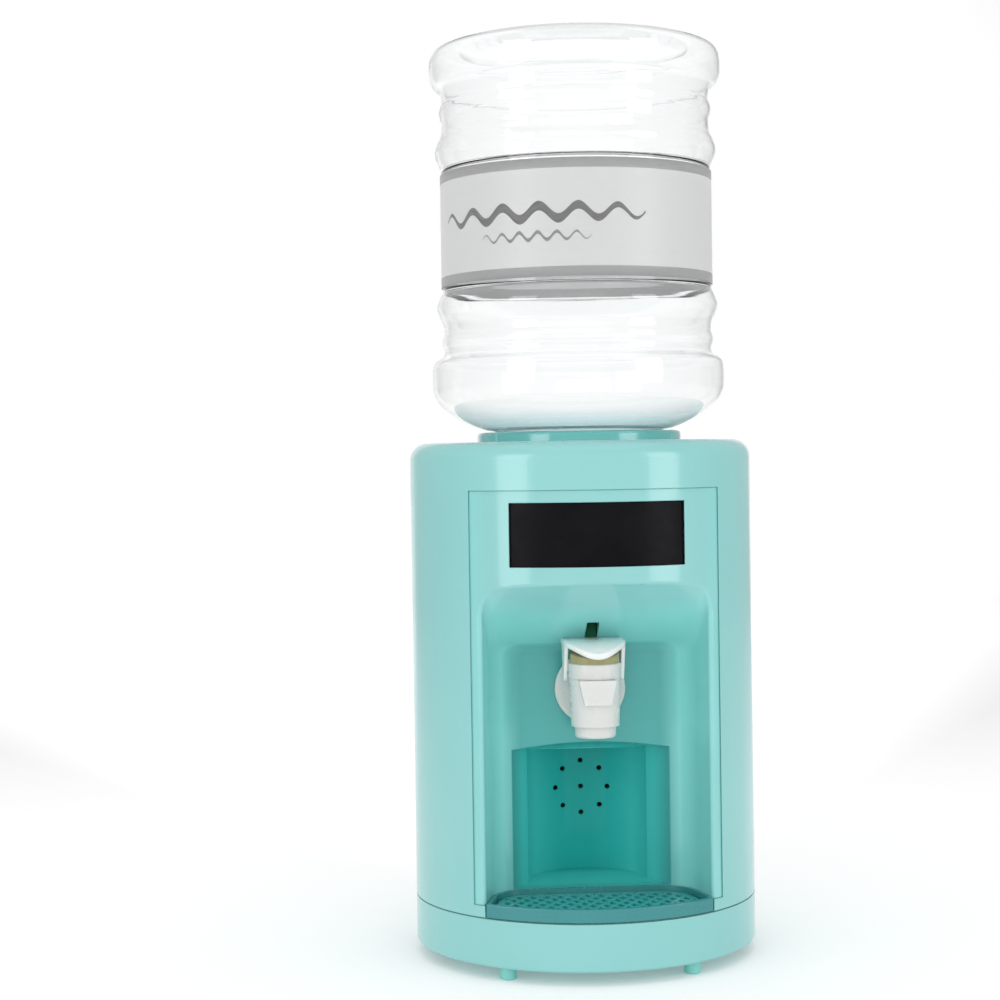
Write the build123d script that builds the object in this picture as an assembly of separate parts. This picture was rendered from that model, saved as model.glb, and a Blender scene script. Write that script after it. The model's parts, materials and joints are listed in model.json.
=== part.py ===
from build123d import *
import math
import os

# Countertop water dispenser, mini size, with an inverted bottle. Millimetres.
# +Z up, the front faces -Y, origin on the floor under the bottle's axis.

# ---- driving dimensions: body ----
BODY_R = 55.0
WALL = 2.0
BODY_IN = BODY_R - WALL
FOOT_H = 4.2
SEAM_Z = 19.0
SEAM_GAP = 0.36
SEAM_DEPTH = 0.9
TOP_Z = 164.5
TOP_T = 2.2
TOP_FILLET = 5.5
CLEAR = 0.3
FAR = 80.0
OPENING_R = 27.2
LEDGE_R = 50.6
BOSS_R = 3.4
BOSS_PLACE_R = 50.2
SCREW_HOLE_R = 1.25
COVER_HALF = 39.85
COVER_Z0 = 24.15
COVER_Z1 = 149.85

# ---- front panel, tap recess and cup niche ----
PANEL_R = 54.6
PANEL_T = 1.7
PANEL_HALF = 38.4
PANEL_Z0 = 22.8
PANEL_Z1 = 149.6
PANEL_GAP = 0.05
LIP_HALF = 41.5
LIP_Z0 = 20.2
LIP_Z1 = 152.6
LIP_OUT = 52.9
LIP_IN = 51.2
RECESS_HALF = 35.3
RECESS_FRONT_Y = -42.2
RECESS_BACK_Y = -20.6
RECESS_TAPER = 0.249
RECESS_CORNER_R = 13.0
RECESS_CREASE_Z = 99.5
RECESS_TOP_Z = 121.4
NICHE_HALF = 25.7
NICHE_MOUTH_Y = -23.0
NICHE_MOUTH_Z = 67.6
NICHE_ARCH = 2.5
NICHE_FRAME_HALF = 19.2
NICHE_FRAME_Y = -9.0
NICHE_FRAME_Z = 66.0
NICHE_FLOOR_Z = 23.4
TUB_WALL = 2.0
CREASE_FILLET = 5.0
BROW_FILLET = 3.0
MOUTH_FILLET = 1.1
BROW_R = BODY_R + 2.0
CUT_FRONT_Y = -62.0
NICHE_WALL = 1.6
DISPLAY_HALF = 26.75
DISPLAY_Z0 = 126.4
DISPLAY_Z1 = 145.9
SLOT_HALF = 1.9
SLOT_Y0 = -34.0
SLOT_Y1 = -25.0

# ---- speaker ----
SPEAKER_Z = 50.5
SPEAKER_RING_R = 8.6
SPEAKER_HOLE_R = 0.8
SPEAKER_R = 14.0
SPEAKER_Y = 12.4

# ---- tap ----
TAP_Y = -36.0
TAP_Z = 86.6
BARREL_R = 7.9
BARREL_TOP_Z = 96.0
NOZZLE_R = 6.35
NOZZLE_Z = 73.1
FLANGE_R = 11.2
STEM_R = 5.0
STEM_BORE_R = 2.2
ROD_R = 1.2
HINGE_Y = -32.0
HINGE_Z = 92.0
PIN_R = 1.0
BONNET_R = 7.6
BONNET_Z = 99.2
BONNET_SLOPE = 8.6
BLADE_HALF = 1.6
ARM_IN = 8.3
ARM_OUT = 9.4

# ---- drip tray ----
TRAY_Z0 = 19.3
TRAY_Z1 = 23.4
TRAY_WALL = 1.3
TRAY_ROUND = 0.3
GRILLE_GAP = 0.6
GRILLE_RIM = 1.1
GRILLE_Z0 = 20.7
GRILLE_Z1 = 21.8
LATTICE_X = 4.3
LATTICE_Y = 7.4
LATTICE_BAR = 0.82
SMALLEST_HOLE = 1.5

# ---- bottle ----
BOTTLE_H = 127.0
BOTTLE_WALL = 1.0
NECK_R = 13.0
NECK_Z = 142.0
LABEL_R = 43.7
LABEL_T = 0.2
LABEL_Z0 = 50.1
LABEL_Z1 = 86.2
COLLAR_R = 33.0
COLLAR_H = 3.2

# ---- batteries and their door ----
CELL_R = 7.25
CELL_L = 50.5
CELL_X = 7.9
CELL_Y = 39.5
CELL_Z = 60.0
DOOR_HALF = 18.0
DOOR_Z0 = 52.0
DOOR_Z1 = 118.0
DOOR_SCREW_Z = 120.8
GRIP_GROOVES = 5
GRIP_PITCH = 2.0

# ---- slide switch ----
SWITCH_Z = 132.0
SWITCH_HALF = 4.2


# ---------------------------------------------------------------- helpers
def disc(radius, z0, z1, x=0.0, y=0.0):
    """Upright cylinder between two heights."""
    low = (Align.CENTER, Align.CENTER, Align.MIN)
    return Pos(x, y, z0) * Cylinder(radius, z1 - z0, align=low)


def ring(outer, inner, z0, z1, x=0.0, y=0.0):
    """Upright tube between two heights."""
    return disc(outer, z0, z1, x, y) - disc(inner, z0 - 1, z1 + 1, x, y)


def disc_y(radius, y0, y1, x=0.0, z=0.0):
    """Cylinder along Y between two depths."""
    low = (Align.CENTER, Align.CENTER, Align.MIN)
    return Pos(x, y0, z) * (Rot(-90, 0, 0) * Cylinder(radius, y1 - y0, align=low))


def ring_y(outer, inner, y0, y1, x=0.0, z=0.0):
    """Tube along Y between two depths."""
    return disc_y(outer, y0, y1, x, z) - disc_y(inner, y0 - 1, y1 + 1, x, z)


def disc_x(radius, x0, x1, y, z):
    """Cylinder along X between two stations."""
    low = (Align.CENTER, Align.CENTER, Align.MIN)
    return Pos(x0, y, z) * (Rot(0, 90, 0) * Cylinder(radius, x1 - x0, align=low))


def block(x0, x1, y0, y1, z0, z1):
    """Box between two corners."""
    low = (Align.MIN, Align.MIN, Align.MIN)
    return Pos(x0, y0, z0) * Box(x1 - x0, y1 - y0, z1 - z0, align=low)


def front_plate(outer, inner, half, z0, z1):
    """Piece of a tube wall on the front side, half-width measured along X."""
    return ring(outer, inner, z0, z1) & block(-half, half, -FAR, 0, z0, z1)


def back_plate(outer, inner, half, z0, z1):
    """Piece of a tube wall on the back side, half-width measured along X."""
    return ring(outer, inner, z0, z1) & block(-half, half, 0, FAR, z0, z1)


def turned(points, y=0.0):
    """Solid of revolution about the vertical line x = 0 at depth y, from (radius, height) points."""
    outline = Polyline(*[(r, z) for r, z in points], close=True)
    return Pos(0, y, 0) * revolve(make_face(Plane.XZ * outline), Axis.Z)


def cross_screw(head_r, head_h, shank_r, length):
    """Screw on its own axis: head above z = 0 with a cross recess, shank below."""
    head = disc(head_r, 0, head_h)
    recess_r = 0.62 * head_r
    arm = 0.16 * head_r
    recess = block(-recess_r, recess_r, -arm, arm, 0.35 * head_h, head_h + 1)
    recess = recess + block(-arm, arm, -recess_r, recess_r, 0.35 * head_h, head_h + 1)
    return joined(head, disc(shank_r, -length, 0.1)) - recess


def coil_spring(mean_r, wire_r, z0, z1, turns, x=0.0, y=0.0):
    """Round-wire compression spring between two heights."""
    rise = z1 - z0 - 2 * wire_r
    path = Pos(x, y, z0 + wire_r) * Helix(rise / turns, rise, mean_r)
    section = Plane(path @ 0, z_dir=path % 0) * Circle(wire_r)
    return sweep(section, path=path, is_frenet=True)


def joined(*pieces):
    """Fuse pieces into one solid."""
    whole = pieces[0]
    for piece in pieces[1:]:
        whole = whole + piece
    return whole


def group(pieces):
    """Separate solids kept together in one node."""
    solids = []
    for piece in pieces:
        solids.extend(piece.solids())
    return Compound(children=solids)


def save(name, shape):
    """Write one node."""
    export_step(shape, "parts/" + name + ".step")


# ---------------------------------------------------------------- recess and niche spaces
def recess_side_x(y, grow):
    """Half-width of the recess at one depth: it narrows from the front to the back."""
    return RECESS_HALF + grow * math.hypot(1.0, RECESS_TAPER) - (y - RECESS_FRONT_Y) * RECESS_TAPER


def recess_plan(grow, z):
    """Plan of the tap recess at one height: straight back, round back corners, tapered sides."""
    back_y = RECESS_BACK_Y + grow
    back_x = recess_side_x(back_y, grow)
    front_x = recess_side_x(CUT_FRONT_Y, grow)
    front = [(-front_x, CUT_FRONT_Y), (front_x, CUT_FRONT_Y)]
    back = [(back_x, back_y), (-back_x, back_y)]
    plan = make_face(Polyline(*front, *back, close=True))
    back_corners = [v for v in plan.vertices() if v.Y > CUT_FRONT_Y + 1]
    return Pos(0, 0, z) * fillet(back_corners, RECESS_CORNER_R + grow)


def recess_brow_plan(grow, z):
    """Plan of the recess where its sloping ceiling runs out in front of the body."""
    radius = BROW_R - grow
    edge_y = RECESS_FRONT_Y
    for _ in range(20):
        edge_y = -math.sqrt(radius ** 2 - recess_side_x(edge_y, grow) ** 2)
    edge_angle = math.atan2(recess_side_x(edge_y, grow), -edge_y)
    angles = [edge_angle * k / 6 for k in (-6, -4, -2, 0, 2, 4, 6)]
    arc = [(radius * math.sin(a), -radius * math.cos(a)) for a in angles]
    left = (-recess_side_x(CUT_FRONT_Y, grow), CUT_FRONT_Y)
    right = (recess_side_x(CUT_FRONT_Y, grow), CUT_FRONT_Y)
    edges = [ThreePointArc(*arc[i:i + 3]) for i in (0, 2, 4)]
    edges += [Line(arc[-1], right), Line(right, left), Line(left, arc[0])]
    return Pos(0, 0, z) * make_face(edges)


def is_level(edge):
    """True for an edge that lies in one horizontal plane."""
    box = edge.bounding_box()
    return box.max.Z - box.min.Z < 0.05


def recess_space(grow, z0):
    """Space of the tap recess, or its outside when grown by the wall thickness."""
    slope = (RECESS_TOP_Z - RECESS_CREASE_Z) / (PANEL_R + RECESS_BACK_Y)
    lift = grow * math.hypot(1.0, slope)
    brow_z = RECESS_TOP_Z + slope * (BROW_R - PANEL_R) + lift
    crease_z = RECESS_CREASE_Z + lift
    well = extrude(recess_plan(grow, z0), amount=crease_z - z0)
    brow = loft([recess_plan(grow, crease_z), recess_brow_plan(grow, brow_z)], ruled=True)
    space = well + brow
    crease = [e for e in space.edges() if is_level(e) and abs(e.center().Z - crease_z) < 0.1]
    crease = [e for e in crease if e.center().Y > -33]
    space = fillet(crease, CREASE_FILLET + grow)
    sides = [e for e in space.edges() if not is_level(e) and abs(e.center().X) > 28]
    sides = [e for e in sides if e.center().Z > crease_z + 5 and e.bounding_box().max.Z > brow_z - 0.2]
    return fillet(sides, BROW_FILLET + grow)


def niche_section(half, z_side, z_crown, y, grow):
    """Upright section of the cup niche, flat below and arched above."""
    half = half + grow
    floor_z = NICHE_FLOOR_Z - grow
    z_side = z_side + grow
    z_crown = z_crown + grow
    edges = [
        Line((-half, floor_z), (half, floor_z)),
        Line((half, floor_z), (half, z_side)),
        ThreePointArc((half, z_side), (0, z_crown), (-half, z_side)),
        Line((-half, z_side), (-half, floor_z)),
    ]
    plane = Plane(origin=(0, y, 0), x_dir=(1, 0, 0), z_dir=(0, -1, 0))
    return plane * make_face(edges)


def niche_space(grow, mouth_y):
    """Space of the cup niche: splayed mouth, then a half-round pocket."""
    depth = NICHE_FRAME_Y - NICHE_MOUTH_Y
    t = (NICHE_FRAME_Y - mouth_y) / depth
    half = NICHE_FRAME_HALF + t * (NICHE_HALF - NICHE_FRAME_HALF)
    z_side = NICHE_FRAME_Z - 0.3 + t * (NICHE_MOUTH_Z - NICHE_FRAME_Z + 0.3)
    z_crown = NICHE_FRAME_Z + t * (NICHE_MOUTH_Z + NICHE_ARCH - NICHE_FRAME_Z)
    mouth = niche_section(half, z_side, z_crown, mouth_y, grow)
    frame = niche_section(NICHE_FRAME_HALF, NICHE_FRAME_Z - 0.3, NICHE_FRAME_Z, NICHE_FRAME_Y, grow)
    splay = loft([mouth, frame], ruled=True)
    pocket_top = NICHE_FRAME_Z - 0.3 + grow
    round_part = disc(NICHE_FRAME_HALF + grow, NICHE_FLOOR_Z - grow, pocket_top, 0, NICHE_FRAME_Y)
    pocket = round_part & block(-FAR, FAR, NICHE_FRAME_Y - 0.5, FAR, 0, TOP_Z)
    return splay + pocket


# ---------------------------------------------------------------- casing
def boss_places():
    """Four body bosses against the inner wall, clear of the recess."""
    angles = [math.radians(a) for a in (20, 160, 200, 340)]
    return [(BOSS_PLACE_R * math.cos(a), BOSS_PLACE_R * math.sin(a)) for a in angles]


def cover_screw_places():
    """Four back cover screws, as (turn about Z from the back, height)."""
    return [(turn, z) for turn in (-41.0, 41.0) for z in (31.0, 143.0)]


def radial(radius, r0, r1, turn, z):
    """Cylinder along a radius of the body, measured from the back."""
    return Rot(0, 0, turn) * disc_y(radius, r0, r1, 0, z)


def seam_groove():
    """Shadow line round the joint between the casing and the base."""
    return ring(BODY_R + 1, BODY_R - SEAM_DEPTH, SEAM_Z - SEAM_GAP / 2, SEAM_Z + SEAM_GAP / 2)


def body_shell():
    """Round casing with its top, open below, with windows for the panel and the back cover."""
    outer = disc(BODY_R, SEAM_Z, TOP_Z)
    outer = fillet(outer.edges().group_by(Axis.Z)[-1], TOP_FILLET)
    inner = disc(BODY_IN, SEAM_Z - 1, TOP_Z - TOP_T)
    inner = fillet(inner.edges().group_by(Axis.Z)[-1], TOP_FILLET - WALL)
    shell = outer - inner
    window_half = PANEL_HALF + PANEL_GAP
    window = block(-window_half, window_half, -FAR, -30, PANEL_Z0 - PANEL_GAP, PANEL_Z1 + PANEL_GAP)
    tray_gate = block(-RECESS_HALF, RECESS_HALF, -FAR, -30, SEAM_Z - 1, PANEL_Z0)
    shell = shell - window - tray_gate - disc(OPENING_R, TOP_Z - 5, TOP_Z + 1) - seam_groove()
    seat_half = COVER_HALF + 0.15
    seat_z0 = COVER_Z0 - 0.15
    seat_z1 = COVER_Z1 + 0.15
    shell = shell + back_plate(BODY_IN + 0.1, LEDGE_R, seat_half + 3, seat_z0 - 3, seat_z1 + 3)
    shell = shell - back_plate(BODY_R + 1, BODY_IN, seat_half, seat_z0, seat_z1)
    shell = shell - block(9 - seat_half, seat_half - 9, 30, FAR, seat_z0 + 4, seat_z1 - 4)
    for x, y in boss_places():
        boss = disc(BOSS_R, SEAM_Z + 0.1, SEAM_Z + 16, x, y) & disc(BODY_IN + 0.5, SEAM_Z, TOP_Z)
        shell = shell + boss - disc(SCREW_HOLE_R, SEAM_Z - 1, SEAM_Z + 13, x, y)
    for turn, z in cover_screw_places():
        shell = shell + radial(3.2, 46.0, 52.0, turn, z) - radial(SCREW_HOLE_R, 44, 60, turn, z)
    return shell


def on_panel_face(edge):
    """True for an edge that lies on the panel's outer surface."""
    points = [edge.position_at(k) for k in (0.0, 0.5, 1.0)]
    return all(abs(math.hypot(p.X, p.Y) - PANEL_R) < 0.02 for p in points)


def mouth_edges(panel):
    """Edges round the recess opening on the panel's face."""
    near = [e for e in panel.edges() if abs(e.center().X) < RECESS_HALF + 1.3]
    near = [e for e in near if e.center().Z < RECESS_TOP_Z + 2]
    return [e for e in near if e.bounding_box().max.Z > PANEL_Z0 + 1 and on_panel_face(e)]


def front_panel():
    """Curved front with the display window, the tap recess and the cup niche in one moulding."""
    skin = front_plate(PANEL_R, LIP_OUT - 0.1, PANEL_HALF, PANEL_Z0, PANEL_Z1)
    lip = front_plate(LIP_OUT, LIP_IN, LIP_HALF, LIP_Z0, LIP_Z1)
    inside = disc(LIP_OUT, LIP_Z0 - 0.9, LIP_Z1)
    tub = recess_space(TUB_WALL, LIP_Z0 - 0.9) & inside
    niche = niche_space(NICHE_WALL, NICHE_MOUTH_Y + 1.0)
    seat = disc_y(SPEAKER_R + 0.9, 2.0, SPEAKER_Y, 0, SPEAKER_Z)
    panel = skin + lip + tub + niche + seat
    panel = panel - disc_y(SPEAKER_R - 1.6, 2.0, SPEAKER_Y + 1, 0, SPEAKER_Z)
    round_back = disc(NICHE_FRAME_HALF + NICHE_WALL, NICHE_FLOOR_Z, NICHE_FRAME_Z, 0, NICHE_FRAME_Y)
    panel = panel + (round_back & block(-18, 18, NICHE_FRAME_Y, FAR, NICHE_FLOOR_Z, NICHE_FRAME_Z))
    panel = panel - recess_space(0.0, LIP_Z0 - 3) - niche_space(0.0, NICHE_MOUTH_Y - 4.0)
    panel = fillet(mouth_edges(panel), MOUTH_FILLET)
    panel = panel - block(-DISPLAY_HALF, DISPLAY_HALF, -FAR, -30, DISPLAY_Z0, DISPLAY_Z1)
    panel = panel - block(-SLOT_HALF, SLOT_HALF, SLOT_Y0, SLOT_Y1, 98.0, 120.0)
    panel = panel - disc_y(STEM_R + 0.1, -30, -10, 0, TAP_Z)
    panel = panel - speaker_holes()
    return panel


def speaker_holes():
    """One hole and a ring of eight round it."""
    holes = disc_y(SPEAKER_HOLE_R, 0, 20, 0, SPEAKER_Z)
    for i in range(8):
        a = math.radians(45 * i)
        x = SPEAKER_RING_R * math.cos(a)
        z = SPEAKER_Z + SPEAKER_RING_R * math.sin(a)
        holes = holes + disc_y(SPEAKER_HOLE_R, 0, 20, x, z)
    return holes


def back_cover():
    """Curved service cover, flush with the casing, with the battery opening and the switch slot."""
    cover = back_plate(BODY_R, BODY_IN + 0.05, COVER_HALF, COVER_Z0, COVER_Z1)
    cover = cover - block(-DOOR_HALF, DOOR_HALF, 30, FAR, DOOR_Z0, DOOR_Z1)
    cover = cover - block(-6, 6, 53.4, FAR, SWITCH_Z - 3, SWITCH_Z + 3)
    cover = cover - block(-SWITCH_HALF, SWITCH_HALF, 30, FAR, SWITCH_Z - 1.6, SWITCH_Z + 1.6)
    cover = cover - back_plate(BODY_R + 1, BODY_IN + 1.1, 6.0, DOOR_Z1 - 1, DOOR_Z1 + 6)
    for turn, z in cover_screw_places():
        cover = cover - radial(1.4, 50, 60, turn, z) - radial(2.6, 53.9, 60, turn, z)
    tab = block(-8, 8, 46, 60, DOOR_Z1, DOOR_Z1 + 6) & disc(BODY_IN + 0.1, 0, TOP_Z)
    return cover + tab - disc_y(0.95, 40, 60, 0, DOOR_SCREW_Z)


def cover_screws():
    """Four pan-head screws of the back cover."""
    screw = Rot(-90, 0, 0) * cross_screw(2.3, 0.85, 1.2, 7.4)
    return group([Rot(0, 0, turn) * (Pos(0, 53.95, z) * screw) for turn, z in cover_screw_places()])


def base_ring():
    """Base wall with its top deck and screw pillars."""
    wall = disc(BODY_R, FOOT_H, SEAM_Z)
    wall = chamfer(wall.edges().group_by(Axis.Z)[0], 0.6)
    base = wall - disc(BODY_IN, FOOT_H - 1, SEAM_Z - 2.0)
    base = base - disc(20.0, SEAM_Z - 3, SEAM_Z + 1, 0, 14.0) - seam_groove()
    for x, y in boss_places():
        pillar = disc(BOSS_R, FOOT_H + 2.0, SEAM_Z - 1, x, y)
        base = base + pillar - disc(1.5, 0, SEAM_Z + 1, x, y)
    return base


def base_plate():
    """Closing plate under the base, with the four countersunk screw seats and the foot holes."""
    plate = disc(BODY_IN - 0.2, FOOT_H, FOOT_H + 2.0)
    for x, y in boss_places():
        plate = plate - disc(1.5, 0, SEAM_Z, x, y) - disc(2.8, 0, FOOT_H + 1.2, x, y)
    for x, y in foot_places():
        plate = plate - disc(1.5, 0, SEAM_Z, x, y)
    return plate


def base_screws():
    """Four long screws from below through the base into the casing bosses."""
    head_z = FOOT_H + 1.2
    screw = Rot(180, 0, 0) * cross_screw(2.5, 1.1, 1.2, 30 - head_z)
    return group([Pos(x, y, head_z) * screw for x, y in boss_places()])


def foot_places():
    """Centres of the four peg feet."""
    return [(x, y) for x in (-28.5, 28.5) for y in (-41.0, 41.0)]


def feet():
    """Four peg feet with barbed stems through the base plate."""
    pegs = []
    for x, y in foot_places():
        peg = disc(2.6, 0, FOOT_H, x, y)
        peg = fillet(peg.edges().group_by(Axis.Z)[0], 0.6)
        peg = peg + disc(1.45, FOOT_H - 0.5, FOOT_H + 2.0, x, y)
        pegs.append(peg + disc(2.0, FOOT_H + 2.0, FOOT_H + 3.2, x, y))
    return group(pegs)


# ---------------------------------------------------------------- water path
def bottle_collar():
    """Ring round the bottle's shoulder, with a skirt through the casing's top."""
    top = TOP_Z + COLLAR_H
    profile = [
        (18.5, 150.0),
        (26.8, 150.0),
        (26.8, TOP_Z),
        (COLLAR_R, TOP_Z),
        (COLLAR_R, top - 1.0),
        (COLLAR_R - 0.3, top - 0.3),
        (COLLAR_R - 1.0, top),
        (27.0, top),
        (18.5, TOP_Z - 0.8),
    ]
    collar = turned(profile)
    for angle in (58, 122, 238, 302):
        a = math.radians(angle - 90)
        x = (COLLAR_R + 0.4) * math.cos(a)
        y = (COLLAR_R + 0.4) * math.sin(a)
        collar = collar - disc(1.0, TOP_Z - 1, top + 1, x, y)
    return collar


def collar_seal():
    """Soft ring that grips the bottle cap."""
    return ring(18.5, 15.7, 155.0, 157.5)


def water_funnel():
    """Cup under the collar with the probe that opens the cap valve, and its outlet nipple."""
    cup = ring(20.0, 18.5, 128.0, 150.0) + disc(20.0, 126.5, 128.5)
    cup = cup + ring(26.8, 18.5, 148.5, 150.0)
    probe = disc(2.4, 128.0, 138.5) - disc(1.4, 132.0, 139.0)
    nipple = disc(3.0, 114.0, 127.0, 0, 6.0) - disc(1.8, 113.0, 129.0, 0, 6.0)
    cup = cup - disc(1.8, 125.0, 130.0, 0, 6.0)
    return cup + probe + nipple


def water_tube():
    """Silicone tube from the funnel's nipple down and forward onto the tap's barb."""
    route = FilletPolyline((0, 6, 126.0), (0, 6, TAP_Z), (0, -13.0, TAP_Z), radius=12.0)
    start = Plane(origin=(0, 6, 126.0), z_dir=(0, 0, -1))
    outside = sweep(start * Circle(4.4), path=route)
    inside = sweep(start * Circle(3.0), path=route)
    return outside - inside


def tap_body():
    """Tap moulding: flange, threaded stem with barb, barrel with valve seat, nozzle."""
    barrel = turned([(0, 76.6), (7.45, 76.6), (7.6, 80.0), (7.9, 91.4), (0, 91.4)], TAP_Y)
    band = disc(8.1, 91.4, BARREL_TOP_Z, 0, TAP_Y)
    band = fillet(band.edges().group_by(Axis.Z)[-1], 0.5)
    lip = [(0, NOZZLE_Z), (NOZZLE_R - 0.35, NOZZLE_Z), (NOZZLE_R, NOZZLE_Z + 0.5)]
    nozzle = turned(lip + [(NOZZLE_R, 77), (0, 77)], TAP_Y)
    shield_outline = Polyline((-5.8, 91.2), (5.8, 91.2), (4.1, 83.6), (-4.1, 83.6), close=True)
    shield_plane = Plane(origin=(0, -45.2, 0), x_dir=(1, 0, 0), z_dir=(0, -1, 0))
    shield = extrude(shield_plane * make_face(shield_outline), amount=-4.0)
    shield = shield & block(-8, 8, -46, TAP_Y, 80, 95)
    flange = disc_y(FLANGE_R, -22.9, -21.2, 0, TAP_Z)
    flange = fillet(flange.edges().group_by(Axis.Y)[0], 0.8)
    stem = disc_y(STEM_R, -34, -13.0, 0, TAP_Z)
    barb = disc_y(3.0, -14, -6.2, 0, TAP_Z)
    body = joined(barrel, band, nozzle, shield, flange, stem, barb)
    body = body - disc(4.8, NOZZLE_Z - 1, 81.5, 0, TAP_Y)
    body = body - disc(2.6, 80, 84, 0, TAP_Y)
    body = body - disc(4.8, 83.5, 90.6, 0, TAP_Y)
    body = body - disc(ROD_R + 0.06, 90, 94, 0, TAP_Y)
    body = body - disc(6.4, 93.0, 97, 0, TAP_Y)
    body = body - disc_y(STEM_BORE_R, TAP_Y, 0, 0, TAP_Z)
    for side in (-1, 1):
        x0 = min(side * 5.7, side * 12)
        body = body - disc_x(PIN_R, x0, x0 + 6.3, HINGE_Y, HINGE_Z)
    return body


def tap_gasket():
    """Soft washer between the tap's flange and the recess wall."""
    return ring_y(9.0, STEM_R + 0.1, -21.2, RECESS_BACK_Y, 0, TAP_Z)


def tap_nut():
    """Hexagonal nut that clamps the tap from inside the panel."""
    plane = Plane(origin=(0, RECESS_BACK_Y + TUB_WALL, TAP_Z), x_dir=(1, 0, 0), z_dir=(0, 1, 0))
    nut = extrude(plane * RegularPolygon(8.6, 6), amount=4.0)
    return nut - disc_y(STEM_R + 0.02, -30, 0, 0, TAP_Z)


def tap_bonnet():
    """Soft cap in the top of the barrel, sloping down to the front to clear the lever."""
    plug = [(3.3, 93.0), (6.4, 93.0), (6.4, BARREL_TOP_Z)]
    head = [(BONNET_R, BARREL_TOP_Z), (BONNET_R, BONNET_Z + 4), (3.3, BONNET_Z + 4)]
    above = Pos(0, TAP_Y, BONNET_Z) * Rot(BONNET_SLOPE, 0, 0) * block(-20, 20, -20, 20, 0, 20)
    bonnet = turned(plug + head, TAP_Y) - above
    rim = [e for e in bonnet.edges() if e.length > 5.8 * BONNET_R and e.center().Z > BARREL_TOP_Z + 1]
    return fillet(rim, 0.5)


def tap_plunger():
    """Valve rod with its head above and its foot below the stopper."""
    rod = disc(ROD_R, 77.0, 99.0, 0, TAP_Y)
    head = disc(3.0, 98.0, 101.2, 0, TAP_Y)
    head = fillet(head.edges().group_by(Axis.Z)[-1], 0.9)
    foot = disc(2.2, 77.0, 78.0, 0, TAP_Y)
    return joined(rod, head, foot)


def tap_stopper():
    """Soft disc that closes the valve seat from below."""
    return ring(3.7, ROD_R, 78.0, 81.2, 0, TAP_Y)


def tap_spring():
    """Return spring under the plunger's head."""
    return coil_spring(2.3, 0.3, 93.05, 97.95, 4.0, 0, TAP_Y)


def lever_pins():
    """Two stub pins pressed into the barrel, on which the lever turns."""
    left = disc_x(PIN_R, -ARM_OUT, -5.8, HINGE_Y, HINGE_Z)
    right = disc_x(PIN_R, 5.8, ARM_OUT, HINGE_Y, HINGE_Z)
    return group([left, right])


def tap_lever():
    """Hood-shaped lever: curved top plate and two side arms down to the hinge pins."""
    top = [(-25.8, 102.8), (-36.0, 102.9), (-42.5, 101.9), (-47.4, 99.6), (-49.0, 98.6)]
    under = [(-48.4, 97.3), (-46.6, 98.3), (-42.0, 100.5), (-36.0, 101.4), (-25.8, 101.4)]
    side_plane = Plane(origin=(-ARM_OUT, 0, 0), x_dir=(0, 1, 0), z_dir=(1, 0, 0))
    edges = [Spline(*top), Line(top[-1], under[0]), Spline(*under), Line(under[-1], top[0])]
    plate = extrude(side_plane * make_face(edges), amount=2 * ARM_OUT)
    nose = Spline((-ARM_OUT, -38.0), (-5.4, -44.6), (0, -47.4), (5.4, -44.6), (ARM_OUT, -38.0))
    sides = Polyline((ARM_OUT, -38.0), (ARM_OUT, -20.0), (-ARM_OUT, -20.0), (-ARM_OUT, -38.0))
    plate = plate & (Pos(0, 0, 90) * extrude(make_face([nose, sides]), amount=20))
    arm_front = [(-37.9, 102.0), (-34.0, 91.6), (HINGE_Y, HINGE_Z - 2.0)]
    arm_back = [(-30.0, 91.6), (-28.0, 102.0)]
    arm_outline = Polyline(*arm_front, *arm_back, close=True)
    lever = plate
    for x0 in (-ARM_OUT, ARM_IN):
        plane = Plane(origin=(x0, 0, 0), x_dir=(0, 1, 0), z_dir=(1, 0, 0))
        arm = extrude(plane * make_face(arm_outline), amount=ARM_OUT - ARM_IN)
        eye = disc_x(2.1, x0, x0 + ARM_OUT - ARM_IN, HINGE_Y, HINGE_Z)
        lever = lever + arm + eye
    return lever - disc_x(PIN_R + 0.05, -20, 20, HINGE_Y, HINGE_Z)


# ---------------------------------------------------------------- display and electronics
def display_lens():
    """Dark curved window with its hidden rim."""
    face = front_plate(PANEL_R - 0.8, LIP_IN, DISPLAY_HALF - 0.2, DISPLAY_Z0 + 0.2, DISPLAY_Z1 - 0.2)
    rim = front_plate(LIP_IN, LIP_IN - 1.0, DISPLAY_HALF + 2.0, DISPLAY_Z0 - 2.0, DISPLAY_Z1 + 2.0)
    return face + rim


def display_board():
    """Flat board behind the window, on two posts."""
    board = block(-24, 24, -41.6, -40.4, 125.4, 147.0)
    for x in (-20.0, 20.0):
        board = board - disc_y(1.1, -45, -35, x, 136.2)
    return board


def board_posts():
    """Two pins that hold the display board to the window's rim."""
    posts = []
    for x in (-20.0, 20.0):
        reach = math.sqrt((LIP_IN - 1.0) ** 2 - (abs(x) + 2.4) ** 2)
        post = disc_y(2.2, -reach, -41.6, x, 136.2) + disc_y(1.1, -42, -39.2, x, 136.2)
        posts.append(post)
    return group(posts)


def display_leds():
    """Row of light-emitting diodes on the front of the display board."""
    leds = []
    for i in range(6):
        x = -12.5 + 5.0 * i
        led = disc_y(1.5, -44.2, -41.6, x, 136.2)
        leds.append(fillet(led.edges().group_by(Axis.Y)[0], 1.2))
    return group(leds)


def main_board():
    """Upright circuit board behind the recess ceiling, seen through the slot."""
    board = block(-20, 20, -17.4, -16.2, 96.6, 123.0)
    return board - disc_y(9.9, -20, -10, 0, TAP_Z)


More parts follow.
